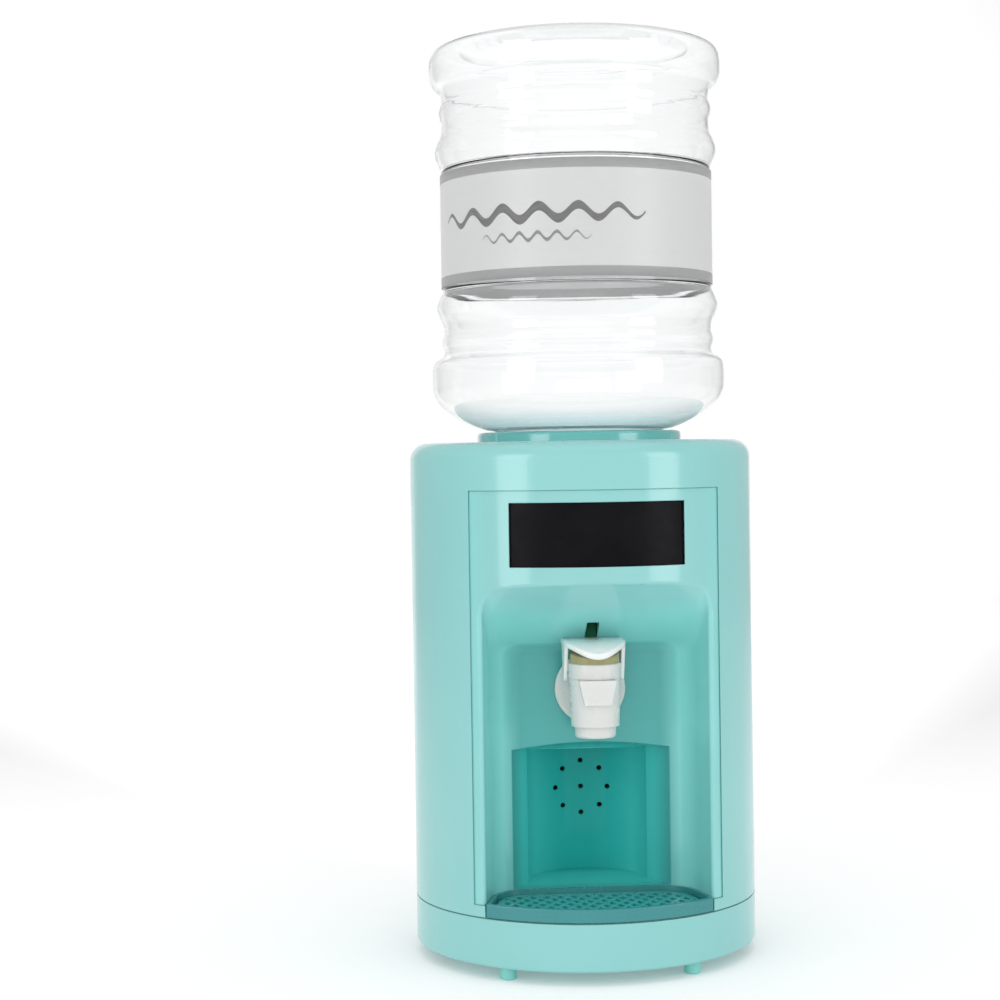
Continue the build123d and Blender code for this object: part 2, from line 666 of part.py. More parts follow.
def board_parts():
    """Chips and a capacitor on the back of the main board."""
    chip = block(-6, 6, -16.2, -13.8, 108.0, 116.0)
    driver = block(9, 16, -16.2, -14.6, 109.0, 114.0)
    capacitor = disc_y(3.0, -16.2, -8.2, -13.5, 112.0)
    return group([chip, driver, capacitor])


def lever_switch():
    """Switch body on the front of the main board, above the lever."""
    case = block(-3.0, 3.0, -29.0, -17.4, 108.8, 113.0)
    return case - block(-BLADE_HALF - 0.15, BLADE_HALF + 0.15, -27.55, -25.45, 107, 111.5)


def switch_button():
    """Push blade of the lever switch, reaching through the recess ceiling."""
    return block(-BLADE_HALF, BLADE_HALF, -27.4, -25.6, 103.1, 110.4)


def speaker_frame():
    """Speaker basket and magnet."""
    basket = disc_y(SPEAKER_R, SPEAKER_Y, SPEAKER_Y + 2.2, 0, SPEAKER_Z)
    basket = basket - disc_y(SPEAKER_R - 1.2, SPEAKER_Y - 1, SPEAKER_Y + 1.4, 0, SPEAKER_Z)
    magnet = disc_y(7.0, SPEAKER_Y + 2.0, SPEAKER_Y + 6.0, 0, SPEAKER_Z)
    return basket + magnet


def speaker_cone():
    """Speaker membrane with its dome."""
    return disc_y(SPEAKER_R - 1.25, SPEAKER_Y + 0.6, SPEAKER_Y + 1.1, 0, SPEAKER_Z)


def speaker_retainer():
    """Clip ring that holds the speaker on its seat."""
    clip = ring_y(SPEAKER_R + 2.4, SPEAKER_R + 0.05, SPEAKER_Y - 0.5, SPEAKER_Y + 2.2, 0, SPEAKER_Z)
    clip = clip - disc_y(SPEAKER_R + 0.95, SPEAKER_Y - 3, SPEAKER_Y, 0, SPEAKER_Z)
    return clip + ring_y(SPEAKER_R + 2.4, 8.0, SPEAKER_Y + 2.2, SPEAKER_Y + 3.4, 0, SPEAKER_Z)


def cell_places():
    """Centres of the two round cells."""
    return [(-CELL_X, CELL_Y), (CELL_X, CELL_Y)]


def battery_holder():
    """Open-backed box for two cells, with its rim on the back cover."""
    box = block(-18.6, 18.6, 30.6, 60, 55.5, 115.5) & disc(BODY_IN, 0, TOP_Z)
    box = box - block(-17.0, 17.0, 32.0, 60, 57.0, 114.0)
    return box


def batteries():
    """Two round cells with their positive caps, set head to tail."""
    cells = []
    for (x, y), flip in zip(cell_places(), (False, True)):
        can_z0 = CELL_Z + (1.2 if flip else 0.0)
        can = disc(CELL_R, can_z0, can_z0 + CELL_L - 1.2, x, y)
        can = fillet(can.edges(), 0.6)
        cap_z0 = CELL_Z if flip else CELL_Z + CELL_L - 1.4
        cells.append(can + disc(2.7, cap_z0, cap_z0 + 1.4, x, y))
    return group(cells)


def battery_contacts():
    """Two flat contacts above and one strip below the cells."""
    plates = []
    for x, y in cell_places():
        plates.append(block(x - 5, x + 5, y - 4, y + 4, 113.4, 114.0))
        plates.append(disc(3.2, 110.5, 113.4, x, y) - disc(2.7, 110.4, 113.0, x, y))
    plates.append(block(-14, 14, CELL_Y - 4, CELL_Y + 4, 57.0, 57.6))
    for x, y in cell_places():
        plates.append(disc(3.2, 57.6, CELL_Z, x, y))
    return joined(plates[0], plates[1]), joined(plates[2], plates[3]), joined(*plates[4:])


def battery_door():
    """Curved door flush with the back cover, with a tongue below, a screw lug above and a grip."""
    door = back_plate(BODY_R, BODY_IN + 0.2, DOOR_HALF - 0.15, DOOR_Z0 + 0.15, DOOR_Z1 - 0.15)
    lug = back_plate(BODY_R, BODY_IN + 1.2, 5.8, DOOR_Z1 - 1, DOOR_Z1 + 5.8)
    tongue = block(-6, 6, 50.6, 52.9, DOOR_Z0 - 2.5, DOOR_Z0 + 1) & ring(BODY_IN - 0.1, 50.0, 49, 54)
    root = block(-6, 6, 50.6, 54, DOOR_Z0 + 0.2, DOOR_Z0 + 1.4) & disc(BODY_IN + 0.5, 0, 99)
    door = door + lug + root + tongue
    for i in range(GRIP_GROOVES):
        z = DOOR_Z1 - 8 - GRIP_PITCH * i
        half = 9.0 - 1.2 * i
        door = door - back_plate(BODY_R + 1, BODY_R - 0.4, half, z - 0.4, z + 0.4)
    return door - disc_y(1.3, 50, 60, 0, DOOR_SCREW_Z) - disc_y(2.1, 54.3, 60, 0, DOOR_SCREW_Z)


def door_screw():
    """Screw of the battery door."""
    screw = Rot(-90, 0, 0) * cross_screw(1.9, 0.6, 0.9, 5.8)
    return Pos(0, 54.3, DOOR_SCREW_Z) * screw


def power_case():
    """Case of the slide switch inside the back cover."""
    case = block(-6.5, 6.5, 46.0, 52.0, SWITCH_Z - 3.2, SWITCH_Z + 3.2) & disc(BODY_IN, 0, TOP_Z)
    return case - block(-4.4, 4.4, 48.6, 60, SWITCH_Z - 1.8, SWITCH_Z + 1.8)


def power_knob():
    """Knob of the slide switch, shown at its left stop."""
    stem = block(-4.0, 0.0, 48.9, 52.9, SWITCH_Z - 1.3, SWITCH_Z + 1.3)
    cap = block(-3.9, -0.1, 52.8, 54.5, SWITCH_Z - 1.3, SWITCH_Z + 1.3)
    return stem + cap


# ---------------------------------------------------------------- drip tray
def tray_plan(inset):
    """Plan of the tray: round front, and sides and back that follow the recess."""
    plan = recess_plan(-CLEAR - inset, 0.0)
    circle = Circle(BODY_R - inset - (0.0 if inset else 0.1))
    return plan & circle


def drip_tray():
    """Shallow tray with a flat floor."""
    tray = extrude(tray_plan(0.0), amount=TRAY_Z1 - TRAY_Z0)
    tray = fillet(tray.edges().group_by(Axis.Z)[-1], TRAY_ROUND)
    hollow = extrude(tray_plan(TRAY_WALL), amount=TRAY_Z1)
    return Pos(0, 0, TRAY_Z0) * tray - Pos(0, 0, TRAY_Z0 + 0.9) * hollow


def drip_grille():
    """Plate with a diamond lattice, standing on ribs in the tray."""
    plate = Pos(0, 0, GRILLE_Z0) * extrude(tray_plan(TRAY_WALL + GRILLE_GAP), amount=GRILLE_Z1 - GRILLE_Z0)
    field = tray_plan(TRAY_WALL + GRILLE_GAP + GRILLE_RIM)
    half_x = LATTICE_X / 2 - LATTICE_BAR
    half_y = LATTICE_Y / 2 - LATTICE_BAR * LATTICE_Y / LATTICE_X
    diamond = make_face(Polyline((half_x, 0), (0, half_y), (-half_x, 0), (0, -half_y), close=True))
    holes = []
    for row in range(-1, 10):
        y = RECESS_BACK_Y - 3.2 - row * LATTICE_Y / 2
        shift = LATTICE_X / 2 if row % 2 else 0.0
        for column in range(-9, 10):
            hole = (Pos(column * LATTICE_X + shift, y, 0) * diamond) & field
            faces = hole.faces() if hole else []
            holes.extend(face for face in faces if face.area > SMALLEST_HOLE)
    cuts = [Pos(0, 0, GRILLE_Z0 - 1) * extrude(face, amount=4.0) for face in holes]
    plate = plate - Compound(children=cuts)
    for x in (-15.0, 0.0, 15.0):
        plate = plate + block(x - 0.35, x + 0.35, -48.0, -24.0, TRAY_Z0 + 1.0, GRILLE_Z0 + 0.3)
    return plate


# ---------------------------------------------------------------- bottle
def bottle_profile():
    """Outside of the inverted bottle from the neck up to its foot, as (radius, height above the casing)."""
    return [
        (NECK_R, NECK_Z - TOP_Z),
        (NECK_R, -2.2),
        (14.4, 0.2),
        (17.5, 1.5),
        (22.0, 2.5),
        (29.4, 4.3),
        (36.4, 6.8),
        (41.1, 9.4),
        (44.6, 12.2),
        (46.4, 15.0),
        (47.1, 17.8),
        (47.1, 23.6),
        (46.2, 26.2),
        (43.6, 28.0),
        (43.2, 29.6),
        (43.3, 31.0),
        (43.9, 32.7),
        (43.3, 34.6),
        (43.2, 36.4),
        (43.7, 38.2),
        (44.9, 40.4),
        (45.4, 43.6),
        (44.9, 46.8),
        (43.7, 48.9),
        (43.5, 50.0),
        (43.5, 86.4),
        (43.7, 87.4),
        (44.9, 90.0),
        (45.4, 93.4),
        (44.9, 96.8),
        (43.6, 99.6),
        (43.1, 102.2),
        (43.3, 104.0),
        (43.9, 106.4),
        (43.3, 108.8),
        (43.1, 111.6),
        (43.5, 113.4),
        (45.6, 115.2),
        (46.9, 117.8),
        (46.9, 122.2),
        (46.0, 125.2),
        (43.6, 126.8),
        (41.0, BOTTLE_H),
        (36.0, BOTTLE_H),
        (33.0, 124.6),
        (0.0, 123.4),
    ]


def bottle():
    """Thin-walled inverted bottle with ribs, open at its neck."""
    outside = [(r, TOP_Z + z) for r, z in bottle_profile()]
    inside = [(max(r - BOTTLE_WALL, 0.0), z) for r, z in outside]
    inside[0] = (NECK_R - BOTTLE_WALL, NECK_Z - 1)
    lowered = [(r, z - BOTTLE_WALL if z > TOP_Z + 120 else z) for r, z in inside]
    raised = [(r, z + 0.6 if TOP_Z - 3 < z < TOP_Z + 16 else z) for r, z in lowered]
    solid = turned(outside + [(0.0, NECK_Z)])
    hollow = turned(raised + [(0.0, NECK_Z - 1)])
    return solid - hollow


def bottle_label():
    """Printed band round the bottle."""
    return ring(LABEL_R + LABEL_T, LABEL_R, TOP_Z + LABEL_Z0, TOP_Z + LABEL_Z1)


def bottle_cap():
    """Screw cap on the neck, with the hole for the probe."""
    cap = disc(15.0, 140.5, 153.0)
    cap = fillet(cap.edges().group_by(Axis.Z)[0], 0.8)
    cap = cap - disc(NECK_R, 142.0, 154.0) - disc(5.2, 139, 143)
    return cap


def cap_valve():
    """Soft valve disc inside the cap, over its hole."""
    return disc(7.0, 142.0, 143.6)


# ---------------------------------------------------------------- all nodes
def main():
    os.makedirs("parts", exist_ok=True)
    nodes = {
        "body_shell": body_shell(),
        "front_panel": front_panel(),
        "back_cover": back_cover(),
        "cover_screws": cover_screws(),
        "base_ring": base_ring(),
        "base_plate": base_plate(),
        "base_screws": base_screws(),
        "feet": feet(),
        "bottle_collar": bottle_collar(),
        "collar_seal": collar_seal(),
        "water_funnel": water_funnel(),
        "water_tube": water_tube(),
        "tap_body": tap_body(),
        "tap_gasket": tap_gasket(),
        "tap_nut": tap_nut(),
        "tap_bonnet": tap_bonnet(),
        "tap_plunger": tap_plunger(),
        "tap_stopper": tap_stopper(),
        "tap_spring": tap_spring(),
        "lever_pins": lever_pins(),
        "tap_lever": tap_lever(),
        "display_lens": display_lens(),
        "display_board": display_board(),
        "board_posts": board_posts(),
        "display_leds": display_leds(),
        "main_board": main_board(),
        "board_parts": board_parts(),
        "lever_switch": lever_switch(),
        "switch_button": switch_button(),
        "speaker_frame": speaker_frame(),
        "speaker_cone": speaker_cone(),
        "speaker_retainer": speaker_retainer(),
        "battery_holder": battery_holder(),
        "batteries": batteries(),
        "battery_contacts": group(battery_contacts()),
        "battery_door": battery_door(),
        "door_screw": door_screw(),
        "power_case": power_case(),
        "power_knob": power_knob(),
        "drip_tray": drip_tray(),
        "drip_grille": drip_grille(),
        "bottle": bottle(),
        "bottle_label": bottle_label(),
        "bottle_cap": bottle_cap(),
        "cap_valve": cap_valve(),
    }
    for name, shape in nodes.items():
        save(name, shape)
        print(name, len(shape.solids()), round(shape.volume, 1))


main()
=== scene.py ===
import json
import math

import bpy
from mathutils import Matrix, Vector


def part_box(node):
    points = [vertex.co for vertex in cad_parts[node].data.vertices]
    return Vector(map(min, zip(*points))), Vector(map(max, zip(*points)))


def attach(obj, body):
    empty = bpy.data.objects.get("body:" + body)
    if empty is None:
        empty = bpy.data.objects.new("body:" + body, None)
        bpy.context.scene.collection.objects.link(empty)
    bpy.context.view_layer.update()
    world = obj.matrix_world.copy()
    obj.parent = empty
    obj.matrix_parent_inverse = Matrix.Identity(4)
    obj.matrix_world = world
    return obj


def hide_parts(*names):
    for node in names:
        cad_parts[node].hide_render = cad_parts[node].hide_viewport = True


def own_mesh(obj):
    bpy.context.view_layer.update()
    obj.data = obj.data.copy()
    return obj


# Looks of the countertop water dispenser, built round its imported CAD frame. Metres, +Z up, front -Y.

MM = 0.001

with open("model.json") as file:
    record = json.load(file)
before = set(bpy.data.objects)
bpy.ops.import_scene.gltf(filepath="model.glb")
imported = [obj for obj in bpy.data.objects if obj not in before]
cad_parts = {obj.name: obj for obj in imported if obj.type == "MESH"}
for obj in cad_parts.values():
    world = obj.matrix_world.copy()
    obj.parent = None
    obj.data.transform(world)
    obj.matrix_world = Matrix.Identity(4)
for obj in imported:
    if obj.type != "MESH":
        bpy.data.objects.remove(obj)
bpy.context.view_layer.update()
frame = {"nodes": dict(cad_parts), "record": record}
NODES = frame["nodes"]
SHELL_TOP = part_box("body_shell")[1].z


# ---------------------------------------------------------------- node helpers
def add(tree, kind, links=None, **settings):
    """New shader node. links gives its inputs, as values or as sockets to join."""
    made = tree.nodes.new("ShaderNode" + kind)
    for name, value in settings.items():
        setattr(made, name, value)
    for name, value in (links or {}).items():
        socket = made.inputs[name]
        if isinstance(value, bpy.types.NodeSocket):
            tree.links.new(value, socket)
        else:
            socket.default_value = value
    return made


def new_material(name, **sockets):
    """Material with a Principled shader whose plain values are set on its own sockets."""
    made = bpy.data.materials.new(name)
    made.use_nodes = True
    tree = made.node_tree
    shader = tree.nodes["Principled BSDF"]
    for key, value in sockets.items():
        socket = shader.inputs[key.replace("_", " ")]
        socket.default_value = (*value, 1.0) if socket.type == "RGBA" else value
    return made, tree, shader


def object_coords(tree):
    """Coordinates fixed to the piece, in metres."""
    return add(tree, "TexCoord").outputs["Object"]


def noise(tree, coords, scale, detail=2.0, rough=0.5, distortion=0.0):
    """Grey noise, with scale in features per metre."""
    made = add(tree, "TexNoise", {
        "Vector": coords, "Scale": scale, "Detail": detail, "Roughness": rough, "Distortion": distortion,
    })
    return made.outputs["Fac"]


def span(tree, value, low, high, from_low=0.3, from_high=0.7):
    """Value stretched to run from low to high."""
    made = add(tree, "MapRange", {
        "Value": value, "From Min": from_low, "From Max": from_high, "To Min": low, "To Max": high,
    })
    return made.outputs["Result"]


def mix(tree, share, a, b):
    """Colour between a and b."""
    made = tree.nodes.new("ShaderNodeMix")
    made.data_type = "RGBA"
    tree.links.new(share, made.inputs["Factor"])
    for socket, value in ((made.inputs[6], a), (made.inputs[7], b)):
        if isinstance(value, bpy.types.NodeSocket):
            tree.links.new(value, socket)
        else:
            socket.default_value = (*value, 1.0)
    return made.outputs[2]


def maths(tree, operation, a, b=0.0, clamp=False):
    """One arithmetic step."""
    made = add(tree, "Math", operation=operation, use_clamp=clamp)
    for socket, value in zip(made.inputs, (a, b)):
        if isinstance(value, bpy.types.NodeSocket):
            tree.links.new(value, socket)
        else:
            socket.default_value = value
    return made.outputs["Value"]


def bump(tree, height, distance, strength=1.0, normal=None):
    """Normal from a height, with its depth in metres."""
    links = {"Height": height, "Distance": distance, "Strength": strength}
    if normal is not None:
        links["Normal"] = normal
    return add(tree, "Bump", links).outputs["Normal"]


def axis_value(tree, coords, axis):
    """One coordinate of a point."""
    return add(tree, "SeparateXYZ", {"Vector": coords}).outputs[axis]


# ---------------------------------------------------------------- materials
def moulded_plastic(name, colour, shade, gloss, grain=0.0, round_edge=0.0, ripple=0.00018, **sockets):
    """Injection-moulded plastic: slow colour drift, patchy haze, mould ripple and a fine grain."""
    made, tree, shader = new_material(name, **sockets)
    coords = object_coords(tree)
    drift = span(tree, noise(tree, coords, 28.0, 3.0), 0.0, 1.0)
    tree.links.new(mix(tree, drift, colour, shade), shader.inputs["Base Color"])
    haze = span(tree, noise(tree, coords, 110.0, 5.0, 0.6), gloss, gloss + 0.09)
    tree.links.new(haze, shader.inputs["Roughness"])
    normal = add(tree, "Bevel", {"Radius": round_edge}, samples=4).outputs[0] if round_edge else None
    normal = bump(tree, noise(tree, coords, 36.0, 1.0), ripple, 0.5, normal)
    if grain:
        normal = bump(tree, noise(tree, coords, 2600.0, 2.0), grain, 0.6, normal)
    tree.links.new(normal, shader.inputs["Normal"])
    return made


# Depths over which the panel's gleam fades, a painted shade on its reflections.
GLEAM_DEPTHS = (-21 * MM, -8 * MM)
FACE_GLEAM = 0.4
NICHE_SHADED_GLEAM = 0.1
COAT_SHARE = 0.5


def panel_plastic_painted_shade(name, painted_stops):
    """Shell plastic with light and shade painted into it by depth, from the panel's face to the cup niche.

    Its colour is lighter on the recess sides as painted light and darker on the recess's back wall and the
    niche's back as painted shade; its gleam fades as a painted shade on its reflections.
    painted_stops gives (depth, colour) along Y.
    """
    made, tree, shader = new_material(name, Coat_Roughness=0.06)
    coords = object_coords(tree)
    first, last = painted_stops[0][0], painted_stops[-1][0]
    # Painted light and shade by depth along Y, from the panel's face into the cup niche.
    depth = span(tree, axis_value(tree, coords, "Y"), 0.0, 1.0, first, last)
    ramp = add(tree, "ValToRGB", {"Fac": depth})
    stops = ramp.color_ramp.elements
    for place, colour in painted_stops[1:-1]:
        stops.new((place - first) / (last - first)).color = (*colour, 1.0)
    stops[0].color = (*painted_stops[0][1], 1.0)
    stops[-1].color = (*painted_stops[-1][1], 1.0)
    tint = ramp.outputs["Color"]
    drift = span(tree, noise(tree, coords, 28.0, 3.0), 0.94, 1.0)
    painted_shade_and_drift = add(tree, "HueSaturation", {"Color": tint, "Value": drift}).outputs["Color"]
    tree.links.new(painted_shade_and_drift, shader.inputs["Base Color"])
    haze = span(tree, noise(tree, coords, 110.0, 5.0, 0.6), 0.12, 0.2)
    tree.links.new(haze, shader.inputs["Roughness"])
    # The gleam and coat fade deeper in: painted shade on the reflections.
    gleam = span(tree, axis_value(tree, coords, "Y"), FACE_GLEAM, NICHE_SHADED_GLEAM, *GLEAM_DEPTHS)
    tree.links.new(gleam, shader.inputs["Specular IOR Level"])
    tree.links.new(maths(tree, "MULTIPLY", gleam, COAT_SHARE), shader.inputs["Coat Weight"])
    normal = add(tree, "Bevel", {"Radius": 0.0005}, samples=4).outputs[0]
    normal = bump(tree, noise(tree, coords, 36.0, 1.0), 0.00018, 0.5, normal)
    normal = bump(tree, noise(tree, coords, 2600.0, 2.0), 0.000004, 0.6, normal)
    tree.links.new(normal, shader.inputs["Normal"])
    return made


def clear_plastic(name):
    """Blown clear plastic: slightly wavy wall with faint drag marks, and a painted teal reflection and shade
    of the casing round the shoulder, where it sits in the casing.
    """
    made, tree, shader = new_material(name, Transmission_Weight=1.0, IOR=1.42, Specular_IOR_Level=0.5)
    coords = object_coords(tree)
    height = axis_value(tree, coords, "Z")
    # Painted teal reflection and shade of the casing near the casing's top; thin is the share of the plain
    # clear colour away from it.
    above = span(tree, height, 0.0, 1.0, SHELL_TOP + 2 * MM, SHELL_TOP + 11 * MM)
    below = span(tree, height, 1.0, 0.0, SHELL_TOP - 4 * MM, SHELL_TOP)
    thin = maths(tree, "MAXIMUM", above, below)
    # Colour near the casing: painted teal reflection and shade of the casing.
    tree.links.new(mix(tree, thin, (0.66, 0.82, 0.85), (0.985, 0.993, 0.995)), shader.inputs["Base Color"])
    stretched = add(tree, "Mapping", {"Vector": coords, "Scale": (1.0, 1.0, 7.0)}).outputs[0]
    haze = span(tree, noise(tree, coords, 70.0, 5.0, 0.65), 0.01, 0.06)
    tree.links.new(haze, shader.inputs["Roughness"])
    normal = bump(tree, noise(tree, stretched, 22.0, 2.0, 0.5), 0.0003, 0.4)
    tree.links.new(normal, shader.inputs["Normal"])
    return made


def film(name, colour, shade):
    """Printed film with a fine fibre and a soft sheen."""
    made, tree, shader = new_material(
        name, Specular_IOR_Level=0.4, Coat_Weight=0.15, Coat_Roughness=0.3, Subsurface_Weight=0.8,
        Subsurface_Radius=(1.0, 1.0, 1.0), Subsurface_Scale=0.001)
    coords = object_coords(tree)
    fibre = add(tree, "Mapping", {"Vector": coords, "Scale": (1.0, 1.0, 5.0)}).outputs[0]
    speck = span(tree, noise(tree, fibre, 420.0, 5.0, 0.7), 0.0, 1.0)
    tree.links.new(mix(tree, speck, colour, shade), shader.inputs["Base Color"])
    tree.links.new(span(tree, speck, 0.38, 0.5, 0.0, 1.0), shader.inputs["Roughness"])
    tree.links.new(bump(tree, speck, 0.00002, 0.5), shader.inputs["Normal"])
    return made


def silicone(name, colour, shade, clearness):
    """Soft rubber, a little dusty, and translucent by its clearness."""
    made, tree, shader = new_material(
        name, Transmission_Weight=clearness, IOR=1.41, Subsurface_Weight=0.25,
        Subsurface_Radius=(0.5, 0.5, 0.3), Subsurface_Scale=0.002)
    coords = object_coords(tree)
    dust = span(tree, noise(tree, coords, 240.0, 6.0, 0.7), 0.0, 1.0)
    tree.links.new(mix(tree, dust, colour, shade), shader.inputs["Base Color"])
    tree.links.new(span(tree, dust, 0.32, 0.48, 0.0, 1.0), shader.inputs["Roughness"])
    tree.links.new(bump(tree, noise(tree, coords, 900.0, 3.0), 0.00003, 0.5), shader.inputs["Normal"])
    return made


def smoked_window(name):
    """Near-black printed window with a satin face."""
    made, tree, shader = new_material(name, Specular_IOR_Level=0.05)
    coords = object_coords(tree)
    cloud = span(tree, noise(tree, coords, 60.0, 4.0), 0.0, 1.0)
    tint = mix(tree, cloud, (0.004, 0.004, 0.005), (0.008, 0.008, 0.010))
    tree.links.new(tint, shader.inputs["Base Color"])
    tree.links.new(span(tree, noise(tree, coords, 300.0, 5.0), 0.26, 0.36), shader.inputs["Roughness"])
    tree.links.new(bump(tree, noise(tree, coords, 1800.0, 2.0), 0.00001, 0.4), shader.inputs["Normal"])
    return made


def plated_steel(name):
    """Plated steel with a fine brushed grain and dull patches."""
    made, tree, shader = new_material(name, Metallic=1.0)
    coords = object_coords(tree)
    brushed = add(tree, "Mapping", {"Vector": coords, "Scale": (1.0, 1.0, 14.0)}).outputs[0]
    grain = noise(tree, brushed, 700.0, 4.0, 0.6)
    patch = span(tree, noise(tree, coords, 160.0, 4.0), 0.0, 1.0)
    tree.links.new(mix(tree, patch, (0.62, 0.62, 0.61), (0.48, 0.48, 0.47)), shader.inputs["Base Color"])
    tree.links.new(span(tree, grain, 0.22, 0.42), shader.inputs["Roughness"])
    tree.links.new(bump(tree, grain, 0.00001, 0.5), shader.inputs["Normal"])
    return made


def circuit_board(name):
    """Green lacquer over copper tracks, with round solder pads."""
    made, tree, shader = new_material(name, Specular_IOR_Level=0.5, Coat_Weight=0.4, Coat_Roughness=0.15)
    coords = object_coords(tree)
    flat = add(tree, "Mapping", {"Vector": coords, "Rotation": (math.pi / 2, 0.0, 0.0)}).outputs[0]
    cells = add(tree, "TexVoronoi", {
        "Vector": flat, "Scale": 330.0, "Randomness": 0.0,
    }, voronoi_dimensions="2D")
    tracks = add(tree, "TexBrick", {
        "Vector": flat, "Scale": 260.0, "Mortar Size": 0.05, "Brick Width": 1.7, "Row Height": 0.5,
    })
    pad = maths(tree, "LESS_THAN", cells.outputs["Distance"], 0.13)
    lacquer = mix(tree, tracks.outputs["Fac"], (0.008, 0.10, 0.045), (0.02, 0.20, 0.08))
    tree.links.new(mix(tree, pad, lacquer, (0.55, 0.55, 0.52)), shader.inputs["Base Color"])
    tree.links.new(span(tree, pad, 0.32, 0.2, 0.0, 1.0), shader.inputs["Roughness"])
    raised = maths(tree, "ADD", tracks.outputs["Fac"], pad)
    tree.links.new(bump(tree, raised, 0.00004, 0.6), shader.inputs["Normal"])
    return made


def pressed_paper(name):
    """Dark pressed fibre of a speaker cone."""
    made, tree, shader = new_material(name, Sheen_Weight=0.2)
    coords = object_coords(tree)
    fibre = noise(tree, coords, 1200.0, 8.0, 0.75)
    tree.links.new(mix(tree, fibre, (0.010, 0.010, 0.011), (0.05, 0.05, 0.052)), shader.inputs["Base Color"])
    tree.links.new(span(tree, fibre, 0.7, 0.9), shader.inputs["Roughness"])
    tree.links.new(bump(tree, fibre, 0.00006, 0.7), shader.inputs["Normal"])
    return made


def cell_sleeve(name, low, high):
    """Shrink sleeve of a round cell: dark body with a lighter end band."""
    made, tree, shader = new_material(name, Coat_Weight=0.5, Coat_Roughness=0.1)
    coords = object_coords(tree)
    height = axis_value(tree, coords, "Z")
    band = maths(tree, "GREATER_THAN", height, low + 0.72 * (high - low))
    worn = span(tree, noise(tree, coords, 300.0, 5.0), 0.0, 1.0)
    dark = mix(tree, worn, (0.030, 0.033, 0.036), (0.045, 0.048, 0.052))
    light = mix(tree, worn, (0.42, 0.30, 0.10), (0.52, 0.38, 0.14))
    tree.links.new(mix(tree, band, dark, light), shader.inputs["Base Color"])
    tree.links.new(span(tree, worn, 0.24, 0.34, 0.0, 1.0), shader.inputs["Roughness"])
    tree.links.new(bump(tree, noise(tree, coords, 180.0, 3.0), 0.00003, 0.5), shader.inputs["Normal"])
    return made


TEAL = (0.282, 0.630, 0.617)
TEAL_SHADE = (0.264, 0.607, 0.595)
# Panel colours by depth along Y, with light and shade painted in: lighter on the recess sides as painted
# light, darker on the recess's back wall and the cup niche's back as painted shade.
PANEL_PAINTED_LIGHT_AND_SHADE = [
    (-44 * MM, TEAL),
    (-36 * MM, (0.275, 0.730, 0.700)),
    (-23.5 * MM, (0.275, 0.750, 0.720)),
    (-20.8 * MM, (0.085, 0.430, 0.415)),
    (-13 * MM, (0.105, 0.690, 0.660)),
    (2 * MM, (0.085, 0.680, 0.650)),
    (10 * MM, (0.022, 0.470, 0.440)),
]
TRAY = (0.045, 0.275, 0.285)
TRAY_SHADE = (0.038, 0.250, 0.262)
COLLAR = (0.170, 0.660, 0.640)
COLLAR_SHADE = (0.150, 0.620, 0.600)
LATTICE = (0.070, 0.440, 0.430)
LATTICE_SHADE = (0.060, 0.400, 0.392)
WHITE = (0.730, 0.740, 0.722)
WHITE_SHADE = (0.692, 0.702, 0.684)

MATERIALS = {
    "shell_teal": moulded_plastic("shell_plastic", TEAL, TEAL_SHADE, 0.13, 0.000004, 0.0004,
                                  Coat_Weight=0.2, Coat_Roughness=0.06, Specular_IOR_Level=0.4),
    "tray_teal": moulded_plastic("tray_plastic", TRAY, TRAY_SHADE, 0.24, 0.000004, 0.0003, 0.00004),
    "foot_teal": moulded_plastic("foot_plastic", (0.24, 0.66, 0.61), (0.21, 0.62, 0.57), 0.34, 0.00001),
    "tap_white": moulded_plastic("tap_plastic", WHITE, WHITE_SHADE, 0.24, 0.000002, 0.0003, 0.00004,
                                 Subsurface_Weight=0.35, Subsurface_Radius=(1.0, 1.0, 0.9),
                                 Subsurface_Scale=0.0025),
    "silicone_olive": silicone("olive_silicone", (0.34, 0.32, 0.14), (0.40, 0.38, 0.20), 0.0),
    "silicone_clear": silicone("clear_silicone", (0.80, 0.81, 0.80), (0.86, 0.87, 0.86), 0.35),
    "display_black": smoked_window("display_window"),
    "board_green": circuit_board("circuit_board"),
    "black_plastic": moulded_plastic("black_plastic", (0.018, 0.018, 0.019), (0.028, 0.028, 0.030),
                                     0.38, 0.00001),
    "led_clear": silicone("led_lens", (0.80, 0.84, 0.86), (0.86, 0.90, 0.92), 0.6),
    "cone_paper": pressed_paper("cone_paper"),
    "cell_case": cell_sleeve("cell_sleeve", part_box("batteries")[0].z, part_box("batteries")[1].z),
    "steel": plated_steel("plated_steel"),
    "bottle_clear": clear_plastic("bottle_plastic_painted_casing_reflection"),
    "label_grey": film("label_film", (0.88, 0.88, 0.88), (0.91, 0.91, 0.91)),
}
PRINT_GREY = film("label_print", (0.335, 0.335, 0.335), (0.365, 0.365, 0.365))
SOFT_GREY = film("label_print_soft", (0.50, 0.50, 0.50), (0.53, 0.53, 0.53))
